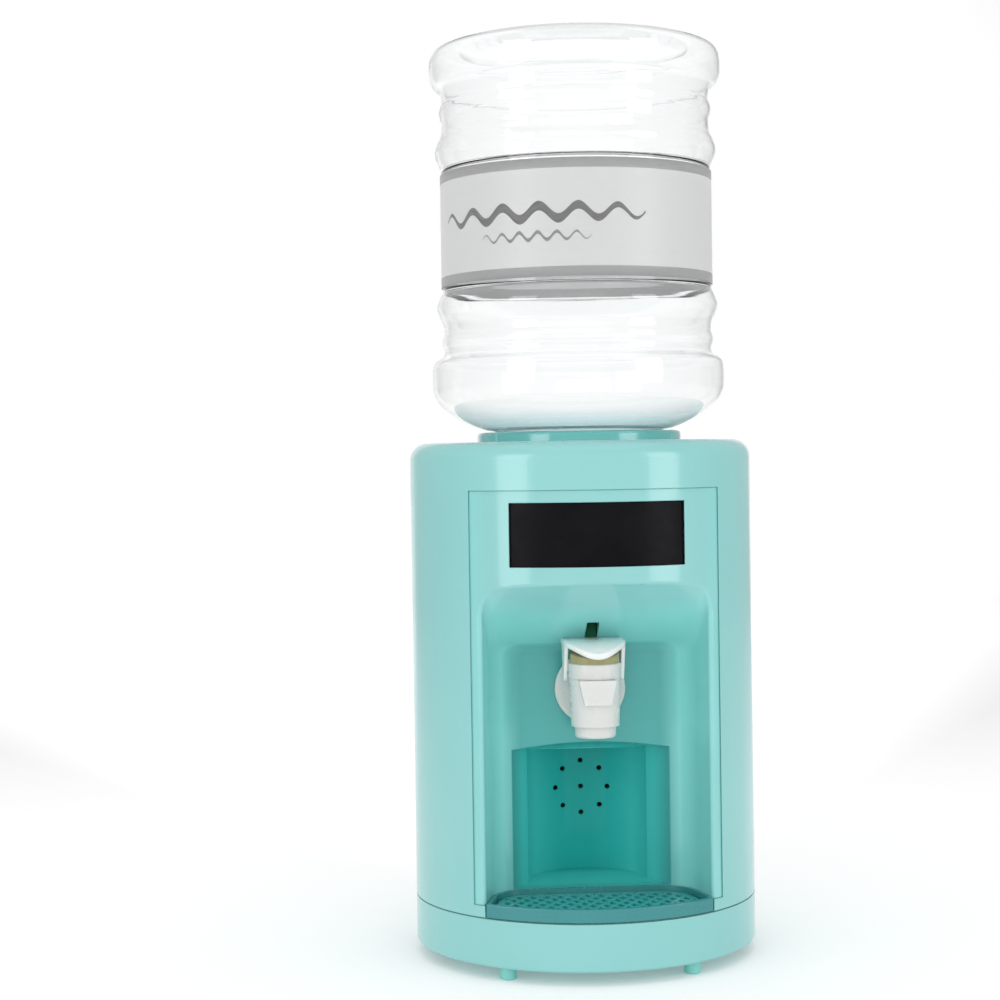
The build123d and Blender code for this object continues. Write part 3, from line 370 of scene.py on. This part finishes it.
OWN_FINISH = {
    "switch_button": moulded_plastic("blade_plastic", (0.002, 0.085, 0.036), (0.003, 0.105, 0.046),
                                     0.4, 0.000004, Specular_IOR_Level=0.1),
    "drip_grille": moulded_plastic("grille_plastic", LATTICE, LATTICE_SHADE, 0.24, 0.000004, 0.0002, 0.00004),
    # Painted light: the lever's white is a brighter copy of the tap's white plastic, standing in for the
    # light on its top.
    "tap_lever": moulded_plastic("lever_plastic_painted_light", (0.90, 0.91, 0.90), (0.87, 0.88, 0.87),
                                 0.24, 0.000002, 0.0003, 0.00004, Subsurface_Weight=0.4,
                                 Subsurface_Radius=(1.0, 1.0, 0.95), Subsurface_Scale=0.003),
    "front_panel": panel_plastic_painted_shade("panel_plastic_painted_shade", PANEL_PAINTED_LIGHT_AND_SHADE),
    "bottle_collar": moulded_plastic("collar_plastic", COLLAR, COLLAR_SHADE, 0.12, 0.000004, 0.0003,
                                     Coat_Weight=0.6, Coat_Roughness=0.06),
}
EDGE_ROUNDS = {"drip_grille": 0.22 * MM, "tap_lever": 0.22 * MM}
SHARP_EDGE = math.radians(40.0)


def paint_cad():
    """Give each carried-over CAD node its own finish or its record slot's, and round some nodes' edges."""
    slots = {p["node"]: p["material_slot"] for p in frame["record"]["subparts"]}
    for name, piece in NODES.items():
        piece.data.materials.clear()
        piece.data.materials.append(OWN_FINISH.get(name) or MATERIALS[slots[name]])
    for name, width in EDGE_ROUNDS.items():
        rounding = NODES[name].modifiers.new("rounded", "BEVEL")
        rounding.width = width
        rounding.segments = 2
        rounding.limit_method = "ANGLE"
        rounding.angle_limit = SHARP_EDGE


# ---------------------------------------------------------------- mesh helpers
def make_object(name, points, faces, slot, body, smooth=True, material=None):
    """Mesh object in the row frame that rides on a body, in a record slot's finish or a given material."""
    mesh = bpy.data.meshes.new(name)
    mesh.from_pydata([tuple(p) for p in points], [], faces)
    mesh.validate()
    mesh.update()
    mesh.polygons.foreach_set("use_smooth", [smooth] * len(mesh.polygons))
    mesh.materials.append(material or MATERIALS[slot])
    made = bpy.data.objects.new(name, mesh)
    bpy.context.scene.collection.objects.link(made)
    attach(made, body)
    return made


def lathe(profile, segments, centre=(0.0, 0.0)):
    """Points and faces of a profile of (radius, height) turned about an upright line."""
    points, faces, rings = [], [], []
    for radius, height in profile:
        if radius < 1e-6:
            rings.append([len(points)] * segments)
            points.append((centre[0], centre[1], height))
            continue
        rings.append(range(len(points), len(points) + segments))
        for i in range(segments):
            a = 2 * math.pi * i / segments
            points.append((centre[0] + radius * math.cos(a), centre[1] + radius * math.sin(a), height))
    for low, high in zip(rings, rings[1:]):
        for i in range(segments):
            j = (i + 1) % segments
            corners = [low[i], low[j], high[j], high[i]]
            faces.append(list(dict.fromkeys(corners)))
    return points, faces


def smooth_line(points, steps):
    """Catmull-Rom curve through (radius, height) points."""
    padded = [points[0]] + points + [points[-1]]
    out = []
    for a, b, c, d in zip(padded, padded[1:], padded[2:], padded[3:]):
        for k in range(steps):
            t = k / steps
            out.append(tuple(
                0.5 * (2 * q + (r - p) * t + (2 * p - 5 * q + 4 * r - s) * t * t
                       + (3 * q - p - 3 * r + s) * t ** 3)
                for p, q, r, s in zip(a, b, c, d)))
    return out + [points[-1]]


# ---------------------------------------------------------------- bottle
BOTTLE_SEGMENTS = 160
WALL = 0.6 * MM
NECK_R = 13.0
CURVE_STEPS = 5


def bead(middle, height, foot, crest):
    """Rounded rib of the bottle's wall, as (radius, height) points in mm."""
    half = height / 2
    side = foot + 0.62 * (crest - foot)
    return [(foot, middle - half), (side, middle - 0.5 * half), (crest, middle),
            (side, middle + 0.5 * half), (foot, middle + half)]


def bottle_outline():
    """Outside of the inverted bottle, in mm above the casing's top, from the neck to the foot."""
    shoulder = [(14.4, 0.2), (18.5, 0.9), (23.5, 1.9), (27.0, 3.4), (31.0, 4.2), (37.2, 6.7),
                (41.4, 9.4), (44.7, 12.2)]
    low_belt = [(46.4, 15.0), (47.1, 17.8), (47.1, 23.4), (46.4, 26.0), (43.7, 27.9)]
    low_beads = bead(32.7, 5.6, 43.2, 43.9) + bead(43.6, 11.0, 43.4, 45.4)
    label_bed = [(43.5, 50.0), (43.5, 68.0), (43.5, 86.4)]
    high_beads = bead(93.4, 11.6, 43.4, 45.4) + bead(106.4, 6.6, 43.1, 43.9)
    high_belt = [(43.5, 113.2), (45.6, 114.9), (46.9, 117.6), (46.9, 122.4), (45.9, 125.2), (43.6, 126.6)]
    foot = [(41.0, 127.0), (37.4, 126.9), (35.0, 125.8), (31.0, 124.6), (18.0, 123.8), (0.0, 123.4)]
    return shoulder + low_belt + low_beads + label_bed + high_beads + high_belt + foot


def build_bottle():
    """Clear bottle with a real wall and a base that dips in."""
    outline = smooth_line(bottle_outline(), CURVE_STEPS)
    neck_low = (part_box("bottle")[0].z - SHELL_TOP) / MM
    neck = [(NECK_R, neck_low), (NECK_R, neck_low + 6.0), (NECK_R, -6.0), (NECK_R + 0.1, -2.2)]
    profile = [(max(r, 0.0) * MM, SHELL_TOP + z * MM) for r, z in neck + outline]
    points, faces = lathe(profile, BOTTLE_SEGMENTS)
    bottle = make_object("bottle_wall", points, faces, "bottle_clear", "bottle")
    wall = bottle.modifiers.new("wall", "SOLIDIFY")
    wall.thickness = WALL
    wall.offset = -1.0
    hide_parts("bottle")
    return bottle


# ---------------------------------------------------------------- label
LABEL_SEGMENTS = 192
BAND = 3.1 * MM
FILM = 0.12 * MM
INK = 0.03 * MM
PRINT_START = math.radians(-73.0)
PRINT_END = math.radians(23.0)
# rise above the label's middle, swing, thickness, number of waves
HEAVY_WAVE = (1.6 * MM, 2.0 * MM, 3.0 * MM, 6)
THIN_WAVE = (-5.6 * MM, 1.2 * MM, 1.2 * MM, 6)
THIN_START = PRINT_START + 0.45
THIN_END = PRINT_END - 0.4


def wrapped(angle, height, radius):
    """Point on the bottle's wall; angle 0 faces the front."""
    return radius * math.sin(angle), -radius * math.cos(angle), height


def build_label():
    """Film band with darker edge stripes."""
    low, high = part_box("bottle_label")
    radius = high.x
    heights = [low.z, low.z + BAND, 0.5 * (low.z + high.z), high.z - BAND, high.z]
    points, faces, shades = [], [], []
    for i in range(LABEL_SEGMENTS):
        angle = 2 * math.pi * i / LABEL_SEGMENTS
        points.extend(wrapped(angle, height, radius) for height in heights)
    rows = len(heights)
    for i in range(LABEL_SEGMENTS):
        for k in range(rows - 1):
            a = i * rows + k
            b = (i + 1) % LABEL_SEGMENTS * rows + k
            faces.append((a, b, b + 1, a + 1))
            shades.append(1 if k in (0, rows - 2) else 0)
    label = make_object("label_film", points, faces, "label_grey", "bottle")
    label.data.materials.append(PRINT_GREY)
    label.data.polygons.foreach_set("material_index", shades)
    body = label.modifiers.new("body", "SOLIDIFY")
    body.thickness = FILM
    body.offset = -1.0
    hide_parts("bottle_label")
    return label


def ribbon(name, outline_low, outline_high, radius, material):
    """Flat printed shape wrapped on the label, between two edges of (angle, height) points."""
    points = [wrapped(a, z, radius) for a, z in outline_low + outline_high]
    n = len(outline_low)
    faces = [(i, i + 1, n + i + 1, n + i) for i in range(n - 1)]
    made = make_object(name, points, faces, "label_grey", "bottle", material=material)
    skin = made.modifiers.new("ink", "SOLIDIFY")
    skin.thickness = INK
    skin.offset = 1.0
    return made


def wave_edges(start, end, height, swing, thickness, waves, steps=120):
    """Two edges of a wavy stripe that thins at both ends."""
    low, high = [], []
    for i in range(steps + 1):
        t = i / steps
        angle = start + (end - start) * t
        middle = height + swing * math.sin(2 * math.pi * waves * t)
        half = 0.5 * thickness * math.sin(math.pi * min(max(t, 0.02), 0.98)) ** 0.5
        low.append((angle, middle - half))
        high.append((angle, middle + half))
    return low, high


def build_print():
    """Generic motif: a heavy wave with a thin wave below."""
    low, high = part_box("bottle_label")
    radius = high.x + 0.02 * MM
    middle = 0.5 * (low.z + high.z)
    for name, ends, wave, ink in (("print_wave", (PRINT_START, PRINT_END), HEAVY_WAVE, PRINT_GREY),
                                  ("print_thin_wave", (THIN_START, THIN_END), THIN_WAVE, SOFT_GREY)):
        rise, swing, thickness, waves = wave
        edges = wave_edges(*ends, middle + rise, swing, thickness, waves)
        ribbon(name, *edges, radius, ink)


# ---------------------------------------------------------------- tap spring
SPRING_TURNS = 4.0
SPRING_WIRE_R = 0.3 * MM
SPRING_STEPS = 44
WIRE_SIDES = 12


def build_spring():
    """Round-wire return spring, which on the tap shortens as the plunger goes down; built at one length."""
    low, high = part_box("tap_spring")
    middle = 0.5 * (low + high)
    mean_r = 0.5 * (high.x - low.x) - SPRING_WIRE_R
    climb = high.z - low.z - 2 * SPRING_WIRE_R
    pitch_angle = math.atan(climb / (SPRING_TURNS * 2 * math.pi * mean_r))
    last = int(SPRING_TURNS * SPRING_STEPS)
    points, faces = [], []
    for i in range(last + 1):
        turn = 2 * math.pi * i / SPRING_STEPS
        outward = Vector((math.cos(turn), math.sin(turn), 0.0))
        along = Vector((-math.sin(turn) * math.cos(pitch_angle), math.cos(turn) * math.cos(pitch_angle),
                        math.sin(pitch_angle)))
        across = along.cross(outward)
        centre = Vector((middle.x, middle.y, low.z + SPRING_WIRE_R + climb * i / last)) + mean_r * outward
        for k in range(WIRE_SIDES):
            side = 2 * math.pi * k / WIRE_SIDES
            points.append(centre + SPRING_WIRE_R * (math.cos(side) * outward + math.sin(side) * across))
    for i in range(last):
        for k in range(WIRE_SIDES):
            a = i * WIRE_SIDES
            b = a + WIRE_SIDES
            after = (k + 1) % WIRE_SIDES
            faces.append((a + k, b + k, b + after, a + after))
    faces.append(tuple(range(WIRE_SIDES)))
    faces.append(tuple(reversed(range(last * WIRE_SIDES, (last + 1) * WIRE_SIDES))))
    spring = make_object("return_spring", points, faces, "steel", "casing")
    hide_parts("tap_spring")
    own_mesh(spring)


# ---------------------------------------------------------------- stage
FLOOR_HALF = 6.0
BASE_GLOW = 0.16


def build_stage():
    """Pale paper floor: it glows far behind the object, and greys off far to its sides."""
    made, tree, shader = new_material(
        "floor_paper", Specular_IOR_Level=0.0, Roughness=0.9, Emission_Color=(1.0, 1.0, 1.0))
    coords = object_coords(tree)
    reach = add(tree, "VectorMath", {0: coords}, operation="LENGTH").outputs["Value"]
    heading = maths(tree, "DIVIDE", axis_value(tree, coords, "Y"), reach)
    behind = span(tree, heading, 0.0, 1.0, 0.88, 0.94)
    glow = maths(tree, "MULTIPLY", behind, span(tree, reach, 0.0, 0.5, 0.1, 1.2))
    tree.links.new(maths(tree, "ADD", glow, BASE_GLOW), shader.inputs["Emission Strength"])
    tone = span(tree, noise(tree, coords, 3.0, 2.0), 0.0, 1.0)
    near = mix(tree, tone, (0.93, 0.93, 0.93), (0.95, 0.95, 0.95))
    sideways = span(tree, heading, 0.0, 1.0, -0.9, 0.0)
    far = mix(tree, sideways, (0.95, 0.95, 0.95), (0.50, 0.50, 0.50))
    distant = span(tree, reach, 0.0, 1.0, 0.3, 1.6)
    tree.links.new(mix(tree, distant, near, far), shader.inputs["Base Color"])
    corners = [(x * FLOOR_HALF, y * FLOOR_HALF, 0) for x, y in ((-1, -1), (1, -1), (1, 1), (-1, 1))]
    mesh = bpy.data.meshes.new("floor")
    mesh.from_pydata(corners, [], [(0, 1, 2, 3)])
    mesh.materials.append(made)
    floor = bpy.data.objects.new("floor", mesh)
    bpy.context.scene.collection.objects.link(floor)


def area_light(name, place, target, width, height, power):
    """Soft box that faces a point."""
    data = bpy.data.lights.new(name, "AREA")
    data.shape = "RECTANGLE"
    data.size = width
    data.size_y = height
    data.energy = power
    light = bpy.data.objects.new(name, data)
    light.location = place
    light.rotation_euler = (Vector(target) - Vector(place)).to_track_quat("-Z", "Y").to_euler()
    bpy.context.scene.collection.objects.link(light)
    return light


STRIP_PLACE = (0.62, -0.52, 0.30)
TOP_PLACE = (0.0, -0.10, 0.95)
KEY_PLACE = (-0.20, -1.15, 0.55)
FRONT_TONE = 1.06
UPPER_TONE = (0.85, 0.85, 0.85)
SIDE_TONE = 0.62
STRIP_POWER = 1.8
TOP_POWER = 0.9
KEY_POWER = 2.0
LIGHT_TARGET = (0.0, 0.0, 0.14)


def build_lights():
    """Grey tent, white behind and paler above, with a key, two strips that only gleam and a soft box."""
    world = bpy.data.worlds.new("tent")
    bpy.context.scene.world = world
    world.use_nodes = True
    tree = world.node_tree
    background = tree.nodes["Background"]
    direction = add(tree, "TexCoord").outputs["Generated"]
    along = axis_value(tree, direction, "Y")
    behind = span(tree, along, 0.0, 1.0, 0.88, 0.94)
    before = span(tree, along, FRONT_TONE, SIDE_TONE, -0.9, 0.0)
    upward = span(tree, axis_value(tree, direction, "Z"), 0.0, 1.0, 0.2, 0.8)
    around = mix(tree, upward, before, UPPER_TONE)
    tree.links.new(mix(tree, behind, around, (1.0, 1.0, 1.0)), background.inputs["Color"])
    background.inputs["Strength"].default_value = 1.0
    for name, side in (("strip_left", -1), ("strip_right", 1)):
        place = (side * STRIP_PLACE[0], *STRIP_PLACE[1:])
        strip = area_light(name, place, LIGHT_TARGET, 0.32, 0.55, STRIP_POWER)
        strip.visible_diffuse = False
    area_light("softbox_top", TOP_PLACE, LIGHT_TARGET, 0.8, 0.8, TOP_POWER)
    key = area_light("key", KEY_PLACE, LIGHT_TARGET, 1.1, 0.8, KEY_POWER)
    key.visible_glossy = False


CAMERA_DISTANCE = 0.6834
CAMERA_HEIGHT = 0.1602
CAMERA_SIDE = -0.107
CAMERA_YAW = -0.069
CAMERA_PITCH = 0.021
CAMERA_ROLL = -0.015
CAMERA_LENS = 75.56
SENSOR_WIDTH = 36.0


def build_camera():
    """Camera low in front, a little to the left."""
    forward = Vector((-math.sin(CAMERA_YAW) * math.cos(CAMERA_PITCH),
                      math.cos(CAMERA_YAW) * math.cos(CAMERA_PITCH), -math.sin(CAMERA_PITCH)))
    level = Vector((math.cos(CAMERA_YAW), math.sin(CAMERA_YAW), 0.0))
    upright = level.cross(forward)
    right = math.cos(CAMERA_ROLL) * level + math.sin(CAMERA_ROLL) * upright
    up = math.cos(CAMERA_ROLL) * upright - math.sin(CAMERA_ROLL) * level
    data = bpy.data.cameras.new("camera")
    data.lens = CAMERA_LENS
    data.sensor_width = SENSOR_WIDTH
    data.clip_start = 0.01
    data.clip_end = 50.0
    camera = bpy.data.objects.new("camera", data)
    place = Vector((CAMERA_DISTANCE * math.sin(CAMERA_SIDE),
                    -CAMERA_DISTANCE * math.cos(CAMERA_SIDE), CAMERA_HEIGHT))
    turn = Matrix((right, up, -forward)).transposed().to_4x4()
    camera.matrix_world = Matrix.Translation(place) @ turn
    bpy.context.scene.collection.objects.link(camera)
    bpy.context.scene.camera = camera
    bpy.context.scene.view_settings.view_transform = "Standard"


# ---------------------------------------------------------------- the whole scene
paint_cad()
build_bottle()
build_label()
build_print()
build_spring()
build_stage()
build_lights()
build_camera()

bpy.context.view_layer.update()
